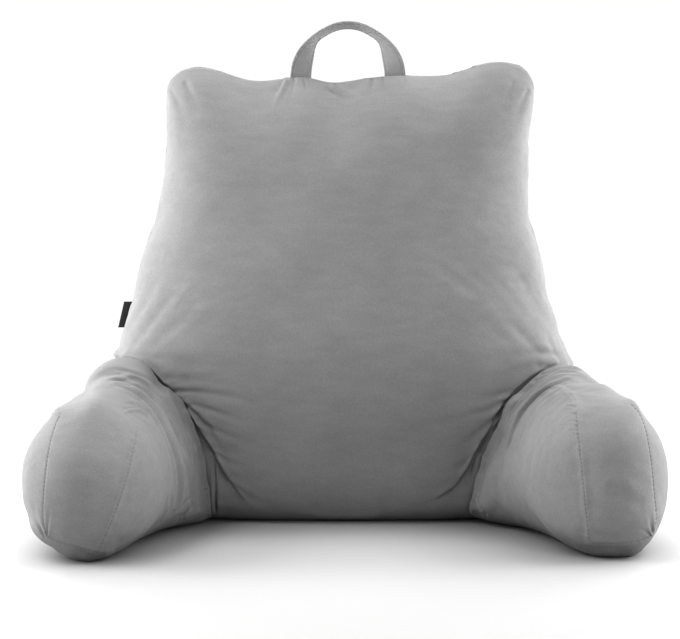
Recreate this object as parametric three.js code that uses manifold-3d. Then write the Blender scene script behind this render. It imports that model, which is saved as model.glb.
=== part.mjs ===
// A reading pillow: a wedge-shaped backrest cushion with two bolster arms, a
// carrying strap sewn into its top seam and a small folded tag in its side seam.
// Millimetres, +Z up. The pillow stands on Z = 0 and faces -Y. Left and right are
// as seen from the front, so the left arm lies towards -X.

import * as THREE from "three";
import { mergeVertices } from "three/addons/utils/BufferGeometryUtils.js";
import Module from "manifold-3d";

const wasm = await Module();
wasm.setup();

// Driving dimensions
const BACK_HEIGHT = 450; // nominal height of the backrest's top seam
const BOTTOM_ROUND = 20; // radius of the backrest's lower edge
const TOP_ROUND = 70; // height over which front and back draw together at the top seam
const CORNER_ROUND = 34; // radius of the top corners, seen from the front
const SEWN_GAP = 0.35; // clearance between two sewn pieces
const CLOTH = 3; // thickness of an end panel sewn over an arm's filling

const STRAP_WIDTH = 22;
const STRAP_THICKNESS = 2.4;
const STRAP_SPAN = 98.5; // between the middles of the strap's two feet
const STRAP_RISE = 56; // from the top seam to the middle of the strap's arch
const STRAP_CENTRE = { across: 2.3, height: 447 };
const STRAP_TURN = { feet: 85, arch: 8, sharpness: 5 }; // degrees from lying flat over the hand
const STRAP_SUNK = 14; // length of each foot inside the top seam before it is trimmed there

const TAG_LENGTH = 27; // along the side seam
const TAG_REACH = 9; // how far the fold stands out of the seam
const TAG_THICKNESS = 1.8;
const TAG_HEIGHT = 202; // middle of the tag above the floor
const TAG_SUNK = 6; // depth of the ribbon inside the seam before it is trimmed there
const TAG_DROOP = 2.5; // how far its fold bends towards the back

// Mesh density
const HALF_RING = 32; // steps across the backrest's front, and as many across its back
const BACK_RINGS = 32;
const ARM_RING = 36; // steps round an arm
const ARM_BODY_RINGS = 17; // steps along an arm up to its tip
const ARM_TIP_RINGS = 9; // steps over its rounded tip
const STRAP_STEPS = 30;
const TAG_STEPS = 6;
const RING_BUNCHING = 0.8; // how much the backrest's rings crowd towards its base and top seam
const WELD = 1e-3; // points nearer than this are one point

// Backrest outline by height: how far its sides reach, and its front and back depth.
// square is the section's exponent: 2 is an ellipse, more is squarer.
const BACKREST = [
  { height: 0, left: 228, right: 222, front: -17, back: 186, square: 3.0 },
  { height: 60, left: 236, right: 229, front: -24, back: 191, square: 2.9 },
  { height: 120, left: 239, right: 230, front: -31, back: 191, square: 2.8 },
  { height: 165, left: 237, right: 229, front: -31, back: 188, square: 2.7 },
  { height: 215, left: 223, right: 211, front: -23, back: 182, square: 2.6 },
  { height: 260, left: 213, right: 205, front: -11, back: 175, square: 2.6 },
  { height: 310, left: 196, right: 190, front: 5, back: 167, square: 2.6 },
  { height: 360, left: 188, right: 190, front: 21, back: 159, square: 2.7 },
  { height: 410, left: 187, right: 196, front: 38, back: 151, square: 2.8 },
  { height: 450, left: 194, right: 202, front: 54, back: 145, square: 2.8 },
];

// Top seam: its rise above or below the nominal height, with an ear at each corner.
const TOP_SEAM = [
  { across: -178, rise: 8 },
  { across: -154, rise: 11 },
  { across: -91, rise: -5 },
  { across: -48, rise: -1 },
  { across: -30, rise: -3 },
  { across: -11, rise: -7 },
  { across: 8, rise: -3 },
  { across: 52, rise: 1 },
  { across: 95, rise: 1 },
  { across: 146, rise: 14 },
  { across: 172, rise: 15 },
];
const SEAM_REACH = 0.55; // share of the height above which the ears begin to show

// Soft hollows (negative) and swellings of the filling on the front panel.
const FRONT_LUMPS = [
  { across: 165, height: 246, wide: 34, tall: 26, swell: -5 },
  { across: 120, height: 232, wide: 44, tall: 30, swell: 3 },
  { across: -150, height: 250, wide: 60, tall: 60, swell: 3 },
  { across: 30, height: 150, wide: 120, tall: 70, swell: 6 },
  { across: 110, height: 330, wide: 70, tall: 60, swell: 2 },
];

// Where one arm is filled more than the other: at its root outwards (shoulder), upwards (rise)
// and towards the user at its foot (flare), and at its end upwards (crest).
const ARM_FILL = {
  left: { shoulder: 6, rise: 8, flare: -4, crest: -4 },
  right: { shoulder: -6, rise: 0, flare: 9, crest: 0 },
};

// Arms: the axis in plan from root to tip and its splay in degrees.
const ARMS = {
  left: { side: -1, root: { x: -218, y: 62 }, splay: 6.6, length: 280, fill: ARM_FILL.left },
  right: { side: 1, root: { x: 219, y: 62 }, splay: 7, length: 262, fill: ARM_FILL.right },
};
const ROOT_FADE = { from: 0.3, to: 0.5 }; // shares of the length over which the root's filling fades
const CREST_RISE = { from: 0.35, to: 0.65 }; // and over which the crest comes up

// Arm sections by share of its length: half widths towards and away from the user,
// top height, height of the widest point, and the exponents above and below it.
const ARM_SECTIONS = [
  { along: 0, inner: 92, outer: 46, top: 156, waist: 10, round: 2, square: 2.5 },
  { along: 0.22, inner: 98, outer: 49, top: 161, waist: 10, round: 2, square: 2.5 },
  { along: 0.34, inner: 92, outer: 52, top: 158, waist: 22, round: 2, square: 2.5 },
  { along: 0.5, inner: 80, outer: 57, top: 149, waist: 46, round: 2.1, square: 2.5 },
  { along: 0.7, inner: 72, outer: 58, top: 141, waist: 62, round: 2.2, square: 2.5 },
  { along: 1, inner: 66, outer: 55, top: 134, waist: 64, round: 2.2, square: 2.5 },
];
const ARM_TIP = 76; // length over which an arm's sides and top round off at its end
const ARM_TIP_LOW = 32; // the same for its underside, which turns in more sharply
const ARM_ROOT = { round: 75, shrink: 0.85, sink: 0.4 }; // how its root narrows and sinks
const ARM_PRESSED = 3; // how much of the round underside the floor flattens
const ROOT_FOLD = { along: 0.4, wide: 0.045, deep: 5 }; // fold round the arm next to the front panel

// End panel on an arm: a tongue from the arm's top, over its end and down to the bottom seam.
// By height: its width, and how far its middle is shifted away from the user (negative: towards).
const PANELS = {
  left: [
    { height: 11, width: 45, shift: -4 },
    { height: 62, width: 62, shift: -20 },
    { height: 150, width: 54, shift: -22 },
  ],
  right: [
    { height: 11, width: 60, shift: 2 },
    { height: 62, width: 62, shift: -7 },
    { height: 150, width: 58, shift: 1 },
  ],
};
const PANEL_START = 0.6; // share of the arm's length at which the tongue begins on top
const PANEL_CORNER = 22; // radius of the tongue's upper corners
const PANEL_FRONT = 320; // reach of the cutting tongue from the root, past every arm

const FABRIC = { color: 0x8f8f8f, roughness: 0.95, metalness: 0 };
const STRAP_FABRIC = { color: 0x8a8a8a, roughness: 0.9, metalness: 0 };
const TAG_FABRIC = { color: 0x1c1c1c, roughness: 0.8, metalness: 0 };

// A smooth curve without overshoot through one column of a table.
function column(rows, key, value) {
  const at = rows.map((row) => row[key]);
  const v = rows.map((row) => row[value]);
  const last = rows.length - 1;
  const rise = at.slice(1).map((x, i) => (v[i + 1] - v[i]) / (x - at[i]));
  const slope = v.map((_, i) => {
    if (i === 0) return rise[0];
    if (i === last) return rise[last - 1];
    return rise[i - 1] * rise[i] <= 0 ? 0 : (2 * rise[i - 1] * rise[i]) / (rise[i - 1] + rise[i]);
  });
  return (x) => {
    if (x <= at[0]) return v[0];
    if (x >= at[last]) return v[last];
    const i = at.findIndex((_, k) => x < at[k + 1]);
    const step = at[i + 1] - at[i];
    const t = (x - at[i]) / step;
    const lift = t * t * (3 - 2 * t);
    const bend = slope[i] * t * (1 - t) ** 2 - slope[i + 1] * t * t * (1 - t);
    return v[i] + (v[i + 1] - v[i]) * lift + step * bend;
  };
}

// How far a quarter-round edge draws in, as a share of its radius, at a distance from its end.
function edgeInset(distance, radius) {
  const t = 1 - Math.min(Math.max(distance / radius, 0), 1);
  return 1 - Math.sqrt(1 - t * t);
}

// A point of the unit superellipse in the direction of an angle.
function superellipse(angle, exponent) {
  const cos = Math.cos(angle);
  const sin = Math.sin(angle);
  const reach = (Math.abs(cos) ** exponent + Math.abs(sin) ** exponent) ** (-1 / exponent);
  return { cos: cos * reach, sin: sin * reach };
}

// A closed solid lofted through rings of equal length. Each end is closed by joining the
// points i and n - i of its ring, so it may be a flat face, a ridge or a single point.
function loft(rings) {
  const n = rings[0].length;
  const positions = rings.flat().flatMap((p) => p.toArray());
  const faces = [];
  for (let r = 0; r + 1 < rings.length; r++) {
    for (let i = 0; i < n; i++) {
      const a = r * n + i;
      const b = r * n + ((i + 1) % n);
      faces.push(a, b, b + n, a, b + n, a + n);
    }
  }
  const top = (rings.length - 1) * n;
  for (let i = 0; i < n / 2; i++) {
    const near = [i, i + 1];
    const far = near.map((k) => (n - k) % n);
    faces.push(near[0], far[1], near[1], near[0], far[0], far[1]);
    faces.push(top + near[0], top + near[1], top + far[1], top + near[0], top + far[1], top + far[0]);
  }
  const geometry = new THREE.BufferGeometry();
  geometry.setAttribute("position", new THREE.Float32BufferAttribute(positions, 3));
  geometry.setIndex(faces);
  const merged = mergeVertices(geometry, WELD);
  const index = merged.index.array;
  const kept = [];
  for (let i = 0; i < index.length; i += 3) {
    const [a, b, c] = index.subarray(i, i + 3);
    if (a !== b && b !== c && c !== a) kept.push(a, b, c);
  }
  merged.setIndex(kept);
  return merged;
}

// The same closed surface moved outwards (or inwards) along its normals.
function offsetSurface(geometry, distance) {
  const moved = geometry.clone();
  moved.computeVertexNormals();
  const position = moved.attributes.position;
  const normal = moved.attributes.normal;
  const p = new THREE.Vector3();
  const d = new THREE.Vector3();
  for (let i = 0; i < position.count; i++) {
    p.fromBufferAttribute(position, i);
    d.fromBufferAttribute(normal, i);
    p.addScaledVector(d, distance);
    position.setXYZ(i, p.x, p.y, p.z);
  }
  return moved;
}

// A solid for booleans from a closed geometry, and a geometry back from a solid.
function solidFrom(geometry) {
  const bare = new THREE.BufferGeometry();
  bare.setAttribute("position", geometry.getAttribute("position"));
  bare.setIndex(geometry.index);
  const merged = mergeVertices(bare, WELD);
  const mesh = new wasm.Mesh({
    numProp: 3,
    vertProperties: new Float32Array(merged.attributes.position.array),
    triVerts: new Uint32Array(merged.index.array),
  });
  return new wasm.Manifold(mesh);
}

function geometryFrom(solid) {
  const mesh = solid.getMesh();
  const geometry = new THREE.BufferGeometry();
  geometry.setAttribute("position", new THREE.BufferAttribute(mesh.vertProperties, 3));
  geometry.setIndex(new THREE.BufferAttribute(mesh.triVerts, 1));
  return geometry;
}

// Backrest: rings at rising heights, from the flat base to the top seam
const backLeft = column(BACKREST, "height", "left");
const backRight = column(BACKREST, "height", "right");
const backFront = column(BACKREST, "height", "front");
const backBack = column(BACKREST, "height", "back");
const backSquare = column(BACKREST, "height", "square");
const seamRise = column(TOP_SEAM, "across", "rise");

// The middle depth of the backrest at a height: where its sides reach widest.
function backMiddle(height) {
  return (backFront(height) + backBack(height)) / 2;
}

function frontSwell(across, height) {
  return FRONT_LUMPS.reduce((sum, lump) => {
    const u = (across - lump.across) / lump.wide;
    const v = (height - lump.height) / lump.tall;
    return sum + lump.swell * Math.exp(-u * u - v * v);
  }, 0);
}

function backrestRing(height) {
  const base = BOTTOM_ROUND * edgeInset(height, BOTTOM_ROUND);
  const corner = CORNER_ROUND * edgeInset(BACK_HEIGHT - height, CORNER_ROUND);
  const drawn = 1 - edgeInset(BACK_HEIGHT - height, TOP_ROUND);
  const middle = backMiddle(height);
  const share = height / BACK_HEIGHT;
  const seamShare = THREE.MathUtils.smoothstep(share, SEAM_REACH, 1);
  const ring = [];
  for (let i = 0; i < 2 * HALF_RING; i++) {
    const angle = Math.PI + (i / HALF_RING) * Math.PI;
    const { cos, sin } = superellipse(angle, backSquare(height));
    const reach = (cos < 0 ? backLeft(height) : backRight(height)) - base - corner;
    const x = reach * cos;
    const depth = sin < 0 ? middle - backFront(height) : backBack(height) - middle;
    const swell = sin < 0 ? frontSwell(x, height) * Math.abs(sin) : 0;
    const y = middle + (depth - base + swell) * drawn * sin;
    const z = height + seamRise(x) * seamShare;
    ring.push(new THREE.Vector3(x, y, z));
  }
  return ring;
}

function backrestSurface() {
  const rings = [];
  for (let r = 0; r <= BACK_RINGS; r++) {
    const t = r / BACK_RINGS;
    const eased = t - (RING_BUNCHING * Math.sin(2 * Math.PI * t)) / (2 * Math.PI);
    rings.push(backrestRing(BACK_HEIGHT * eased));
  }
  return loft(rings);
}

// Arms: rings across the arm's axis, from the root inside the backrest's corner to the tip
const armInner = column(ARM_SECTIONS, "along", "inner");
const armOuter = column(ARM_SECTIONS, "along", "outer");
const armTop = column(ARM_SECTIONS, "along", "top");
const armWaist = column(ARM_SECTIONS, "along", "waist");
const armRound = column(ARM_SECTIONS, "along", "round");
const armSquare = column(ARM_SECTIONS, "along", "square");

// The arm's own directions in plan: forwards along its axis and outwards across it.
function armFrame(arm) {
  const splay = THREE.MathUtils.degToRad(arm.splay);
  const forward = new THREE.Vector3(arm.side * Math.sin(splay), -Math.cos(splay), 0);
  const outward = new THREE.Vector3(arm.side * Math.cos(splay), Math.sin(splay), 0);
  const root = new THREE.Vector3(arm.root.x, arm.root.y, 0);
  return { root, forward, outward };
}

function armRing(arm, distance) {
  const { smoothstep } = THREE.MathUtils;
  const { root, forward, outward } = armFrame(arm);
  const share = distance / arm.length;
  const left = arm.length - distance;
  const rooted = edgeInset(distance, ARM_ROOT.round);
  const tip = 1 - edgeInset(left, ARM_TIP);
  const taper = tip * (1 - ARM_ROOT.shrink * rooted);
  const taperLow = 1 - edgeInset(left, ARM_TIP_LOW);
  const fold = ROOT_FOLD.deep * Math.exp(-(((share - ROOT_FOLD.along) / ROOT_FOLD.wide) ** 2));
  const nearRoot = 1 - smoothstep(share, ROOT_FADE.from, ROOT_FADE.to);
  const crest = arm.fill.crest * smoothstep(share, CREST_RISE.from, CREST_RISE.to);
  const rise = arm.fill.rise * nearRoot + crest - fold;
  const waist = armWaist(share);
  const above = (armTop(share) + rise - waist) * tip * (1 - ARM_ROOT.sink * rooted);
  const below = (waist + ARM_PRESSED) * taperLow;
  const ring = [];
  for (let i = 0; i < ARM_RING; i++) {
    const angle = -Math.PI / 2 + (i / ARM_RING) * 2 * Math.PI;
    const upper = Math.sin(angle) >= 0;
    const { cos, sin } = superellipse(angle, upper ? armRound(share) : armSquare(share));
    const flare = arm.fill.flare * nearRoot * (1 - Math.abs(sin));
    const inner = armInner(share) + flare;
    const outer = armOuter(share) + arm.fill.shoulder * nearRoot;
    const half = (cos < 0 ? inner : outer) - fold;
    const z = waist + (upper ? above : below) * sin;
    const p = root.clone().addScaledVector(forward, distance).addScaledVector(outward, half * taper * cos);
    ring.push(p.setZ(Math.max(z, 0)));
  }
  return arm.side > 0 ? ring : ring.reverse();
}

function armSurface(arm) {
  const body = arm.length - ARM_TIP;
  const rings = [];
  for (let r = 0; r < ARM_BODY_RINGS; r++) {
    rings.push(armRing(arm, (body * r) / ARM_BODY_RINGS));
  }
  for (let r = 0; r <= ARM_TIP_RINGS; r++) {
    rings.push(armRing(arm, body + ARM_TIP * Math.sin((r / ARM_TIP_RINGS) * (Math.PI / 2))));
  }
  return loft(rings);
}

// The tongue-shaped column that marks out an end panel, a little larger by grow.
function tongueRing(arm, width, shift, start, height) {
  const half = width / 2;
  const tongue = new THREE.Shape();
  tongue.moveTo(-half, PANEL_FRONT);
  tongue.lineTo(-half, start + PANEL_CORNER);
  tongue.quadraticCurveTo(-half, start, -half + PANEL_CORNER, start);
  tongue.lineTo(half - PANEL_CORNER, start);
  tongue.quadraticCurveTo(half, start, half, start + PANEL_CORNER);
  tongue.lineTo(half, PANEL_FRONT);
  const { root, forward, outward } = armFrame(arm);
  const ring = tongue.getPoints(5).map((point) =>
    root
      .clone()
      .addScaledVector(forward, point.y)
      .addScaledVector(outward, point.x + shift)
      .setZ(height),
  );
  return arm.side > 0 ? ring.reverse() : ring;
}

function panelColumn(arm, panel, grow) {
  const start = arm.length * PANEL_START - grow;
  const rings = panel.map((row, i) =>
    tongueRing(arm, row.width + 2 * grow, row.shift, start, row.height - (i === 0 ? grow : 0)),
  );
  return solidFrom(loft(rings));
}

// One arm as two sewn pieces: the filled bolster and the panel over its end.
function armPieces(arm, panelShape, backrestClear) {
  const surface = armSurface(arm);
  const whole = solidFrom(surface);
  const lining = solidFrom(offsetSurface(surface, -CLOTH));
  const filling = solidFrom(offsetSurface(surface, -CLOTH - SEWN_GAP));
  const panel = whole.intersect(panelColumn(arm, panelShape, 0)).subtract(lining);
  const recess = panelColumn(arm, panelShape, SEWN_GAP).subtract(filling);
  const bolster = whole.subtract(recess).subtract(backrestClear);
  return { bolster, panel };
}

// Carrying strap: flat to the front at its feet, turning until it arches flat over the hand
function strapSurface() {
  const { degToRad, lerp } = THREE.MathUtils;
  const depth = backMiddle(BACK_HEIGHT);
  const front = new THREE.Vector3(0, -1, 0);
  const rings = [];
  for (let s = 0; s <= STRAP_STEPS; s++) {
    const sweep = Math.PI * (1 - s / STRAP_STEPS);
    const cos = Math.cos(sweep);
    const sin = Math.sin(sweep);
    const sunk = s === 0 || s === STRAP_STEPS ? STRAP_SUNK : 0;
    const x = STRAP_CENTRE.across + (STRAP_SPAN / 2) * cos;
    const z = STRAP_CENTRE.height + STRAP_RISE * sin - sunk;
    const centre = new THREE.Vector3(x, depth, z);
    const outward = new THREE.Vector3(cos / STRAP_SPAN, 0, sin / (2 * STRAP_RISE)).normalize();
    const along = new THREE.Vector3().crossVectors(front, outward);
    const turn = degToRad(lerp(STRAP_TURN.arch, STRAP_TURN.feet, Math.abs(cos) ** STRAP_TURN.sharpness));
    const width = front.clone().multiplyScalar(Math.cos(turn)).addScaledVector(outward, Math.sin(turn));
    const thick = new THREE.Vector3().crossVectors(along, width);
    const corner = (w, t) =>
      centre
        .clone()
        .addScaledVector(width, (w * STRAP_WIDTH) / 2)
        .addScaledVector(thick, (t * STRAP_THICKNESS) / 2);
    rings.push([corner(1, -1), corner(0, -1), corner(-1, -1), corner(-1, 1), corner(0, 1), corner(1, 1)]);
  }
  return loft(rings);
}

// Side tag: a short ribbon folded in two, its raw ends caught in the left side seam
function tagSurface() {
  const low = TAG_HEIGHT - TAG_LENGTH / 2;
  const high = TAG_HEIGHT + TAG_LENGTH / 2;
  const rings = [];
  for (let s = 0; s <= TAG_STEPS; s++) {
    const share = s / TAG_STEPS;
    const out = share * (TAG_REACH + TAG_SUNK) - TAG_SUNK;
    const droop = TAG_DROOP * share * share;
    const half = (TAG_THICKNESS / 2) * (share === 1 ? 0.5 : 1);
    const point = (height, y) =>
      new THREE.Vector3(-backLeft(height) - out, backMiddle(height) + droop + y, height);
    rings.push([point(low, half), point(low, -half), point(high, -half), point(high, half)]);
  }
  return loft(rings);
}

function fabricMesh(name, solid, finish) {
  const mesh = new THREE.Mesh(geometryFrom(solid), new THREE.MeshStandardMaterial(finish));
  mesh.name = name;
  return mesh;
}

const backrest = backrestSurface();
const backrestClear = solidFrom(offsetSurface(backrest, SEWN_GAP));

const pillow = new THREE.Group();
pillow.name = "reading_pillow";
pillow.add(fabricMesh("backrest", solidFrom(backrest), FABRIC));
for (const [name, arm] of Object.entries(ARMS)) {
  const { bolster, panel } = armPieces(arm, PANELS[name], backrestClear);
  pillow.add(fabricMesh(`arm_${name}`, bolster, FABRIC));
  pillow.add(fabricMesh(`arm_end_${name}`, panel, FABRIC));
}
pillow.add(fabricMesh("carry_strap", solidFrom(strapSurface()).subtract(backrestClear), STRAP_FABRIC));
pillow.add(fabricMesh("side_tag", solidFrom(tagSurface()).subtract(backrestClear), TAG_FABRIC));

// The origin is the middle of the footprint, on the floor
const box = new THREE.Box3().setFromObject(pillow);
const middle = box.getCenter(new THREE.Vector3());
pillow.position.set(-middle.x, -middle.y, -box.min.z);

export default pillow;
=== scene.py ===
import math

import bmesh
import bpy
import numpy as np
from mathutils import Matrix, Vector
from mathutils.bvhtree import BVHTree


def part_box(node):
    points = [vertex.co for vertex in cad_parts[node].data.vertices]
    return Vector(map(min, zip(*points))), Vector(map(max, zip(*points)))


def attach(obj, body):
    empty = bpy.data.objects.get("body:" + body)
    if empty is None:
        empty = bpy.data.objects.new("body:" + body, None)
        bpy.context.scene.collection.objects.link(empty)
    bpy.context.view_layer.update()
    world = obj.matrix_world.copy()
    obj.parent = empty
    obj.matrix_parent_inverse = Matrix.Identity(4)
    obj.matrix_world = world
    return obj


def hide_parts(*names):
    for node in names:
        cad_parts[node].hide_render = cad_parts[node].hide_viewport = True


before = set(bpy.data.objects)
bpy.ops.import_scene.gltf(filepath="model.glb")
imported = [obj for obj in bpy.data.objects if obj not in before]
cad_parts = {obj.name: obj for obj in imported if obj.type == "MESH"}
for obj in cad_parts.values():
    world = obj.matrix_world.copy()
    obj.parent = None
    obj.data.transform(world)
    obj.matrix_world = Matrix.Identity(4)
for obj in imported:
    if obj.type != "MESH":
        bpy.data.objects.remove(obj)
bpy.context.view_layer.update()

# Camera, worked out from the photograph's 680 x 639 frame
PHOTO_SIZE = (680, 639)
CAMERA_PLACE = (-0.0062, -1.7824, 0.3525)
CAMERA_DIP = math.radians(4.748)
FOCAL_PIXELS = 1806.2
SENSOR_MM = 36.0

# How far a surface turns from the camera before its folds fade, as cosines
FACING_EDGE = 0.04
FACING_FADE = 0.2

# Light. The room is even, with a white backdrop behind the pillow.
ROOM_LIGHT = 0.10
BACKDROP_LIGHT = 1.03
BACKDROP_FADE = (0.86, 0.94)
FLOOR_GREY = 0.44
FLOOR_ROUGH = 0.8
FLOOR_MOTTLE = {"scale": 4, "detail": 1, "stretch": (1, 1, 1), "ends": (0.0, 1.0), "spread": 0.01}
# Painted light on the floor: the stretch of a round gradient about the pillow, and the glow along it,
# strongest away from the pillow
FLOOR_GLOW = {"scale": (2.2, 1.0, 1), "stops": [(0.2, 0.5), (0.42, 0.0)]}
FLOOR_SPAN = 4.0
FLOOR_BEHIND = 0.8
# Lights: name, place, aim, size in metres, watts
LIGHTS = [
    ("side_left", (-1.5, 0.05, 0.6), (-0.1, 0, 0.25), (0.8, 1.4), 35),
    ("side_right", (1.5, 0.05, 0.6), (0.1, 0, 0.25), (0.8, 1.4), 16),
    ("rear_left", (-1.5, 0.35, 0.6), (-0.1, 0, 0.25), (0.8, 1.4), 10),
    ("rear_right", (1.5, 0.35, 0.6), (0.1, 0, 0.25), (0.8, 1.4), 20),
    ("back_left", (-0.9, 0.7, 0.5), (-0.2, 0.05, 0.25), (0.5, 1.0), 12),
    ("back_right", (0.9, 0.7, 0.5), (0.2, 0.05, 0.25), (0.5, 1.0), 13),
    ("front_left", (-1.6, -2.0, 1.1), (0, 0, 0.25), (1.0, 1.0), 13.5),
    ("front_right", (1.6, -2.0, 1.1), (0, 0, 0.25), (1.0, 1.0), 18),
    ("high_right", (1.1, 0.1, 1.5), (0.1, 0, 0.25), (0.8, 0.8), 11),
    ("over_left", (-0.6, -0.25, 1.1), (-0.15, 0.05, 0.4), (0.5, 0.5), 6.5),
    ("over_back", (0, 0.35, 1.1), (0, 0.08, 0.45), (1.0, 0.4), 6),
]

# Colours, linear, and roughness
VELOUR_GREY = 0.203
STRAP_GREY = 0.265
THREAD_GREY = 0.08
THREAD_ROUGH = 0.9
TAG_BLACK = 0.006
TAG_ROUGH = 0.8
# Velour: its shader, and three noise patterns with how far each lightens and darkens the cloth
VELOUR_SHADER = {"Roughness": 0.92, "Specular IOR Level": 0.1, "Sheen Weight": 0.08, "Sheen Roughness": 0.5}
NAP = {"scale": 16, "detail": 3, "stretch": (1, 1, 1), "ends": (0.3, 0.7), "spread": 0.05}
BRUSH = {"scale": 110, "detail": 2, "stretch": (0.35, 1, 1), "ends": (0.3, 0.7), "spread": 0.05}
PILE = {"scale": 620, "detail": 2, "stretch": (1, 1, 1), "ends": (0.3, 0.7), "spread": 0.07}
PILE_BUMP = {"scale": 900, "detail": 3, "strength": 0.3, "distance": 0.0006}
# Painted shade, darkening the colour of the pile in folds and corners and of the floor close under the
# pillow: how light they look by how open they lie, and how far round, metres
FOLD_SHADE = {"reach": 0.05, "stops": [(0.2, 0.58), (0.45, 0.87), (0.7, 0.95), (1.0, 1.0)]}
FLOOR_SHADE = {"reach": 0.12, "stops": [(0.0, 0.24), (0.5, 0.66), (0.88, 0.98), (1.0, 1.0)]}
SHADE_SAMPLES = 6

# Filled pieces, metres
BACK_VOXEL = 0.0063
ARM_VOXEL = 0.0054
SMOOTH_ROUNDS = 12
SHRINK = 0.002
SWELL_CAP = 0.0055
# How much larger the cloth is cut than the shape it starts from, as a share
BACK_EASE = 0.002
ARM_EASE = 0.012
CLOTH_FRAMES = 20
CLOTH_PRESSURE = 4.0
CLOTH = {"quality": 6, "mass": 0.25, "tension_stiffness": 15, "compression_stiffness": 15,
         "shear_stiffness": 8, "bending_stiffness": 0.5}
# Cloth is held this near a neighbour, the floor or a stitched seam
HELD_NEAR = 0.009
HELD_BASE = 0.004
HELD_SEAM_PIXELS = 3
# A slow unevenness of the filling, above the floor
UNEVEN = {"height": 0.0007, "length": 0.11, "spread": (0.6, 1.5), "waves": 9, "above": 0.03}
BACK_SEED = 3
ARM_SEED = 5
# The least length to divide by
TINY = 1e-9

# Strap and tag, metres and degrees. Along the strap 0 is the top of its arch and 1 its feet.
STRAP_WIDTH = 0.022
STRAP_THICK = 0.0024
STRAP_FOOT_HEIGHT = 0.447
STRAP_TURN = {"feet": 85, "arch": 14, "sharpness": 5}
STRAP_STEPS = 160
STRAP_HEM = {"points": 61, "deep": 0.00045, "place": 0.0082, "wide": 0.0006}
STRAP_FOLD = {"drawn": 0.0045, "drawn_at": 0.68, "drawn_over": 0.13,
              "cross": 0.009, "cross_from": 0.5, "cross_over": 0.19,
              "high": 0.0006, "high_at": 0.69, "high_over": 0.2, "wide": 0.0014}
STRAP_SUNK = 0.004
TAG_ROWS = 15
TAG_TURN_STEPS = 9
TAG_THICK = 0.0018
TAG_LAYER = 0.0006
TAG_SUNK = 0.003
# How far the tag's fold lies inside its solid at its lower and upper end, and what share is an end
TAG_TRIM = (0.0033, 0.001)
TAG_END_SHARE = 0.2

# Side seam of the backrest, millimetres
SIDE_SEAM = {"wide": 1.8, "deep": 1.6, "above": 12, "fade": 10, "held": 4, "finer": 5}
# Levels at which the seam's depth is measured, metres
SEAM_LEVELS = {"margin": 0.02, "count": 24, "reach": 0.03}

# Colour sockets of a mix node, which holds one set for each kind of value
MIX_FACTOR = 0
MIX_FIRST = 6
MIX_SECOND = 7
MIX_RESULT = 2

# Folds and seams, each placed where the photograph shows it. Points are pixels of the
# 680 x 639 frame, where a pixel is close to a millimetre; wide and deep are in millimetres, and a
# negative depth is a ridge. lip is the share of the depth that rises beside a trough. A pull starts
# sharp at its first point, where the cloth is held, and dies away; a crease fades at both ends. A tuck
# is a fold that overlaps: narrow on one side and running out slowly, over far, on its other side, which
# lies to the right of the way its points go.
BACKREST_TUCKS = [
    dict(deep=1.6, wide=1.6, far=6.0, lip=0.5,
         at=[(121, 357), (137, 362), (150, 371), (163, 384), (181, 402), (192, 421)]),
    dict(deep=3.2, wide=1.7, far=8.0, lip=0.4,
         at=[(176, 396), (192, 421), (200, 435), (208, 447), (217, 464), (225, 478), (236, 493),
             (247, 504)]),
    dict(deep=3.0, wide=1.7, far=8.0, lip=0.4,
         at=[(434, 502), (452, 491), (462, 480), (471, 466), (482, 445), (493, 426), (504, 406)]),
    dict(deep=1.2, wide=1.5, far=4.0, lip=0.5,
         at=[(493, 424), (504, 406), (517, 391), (533, 378), (549, 368), (563, 363)]),
]
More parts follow.
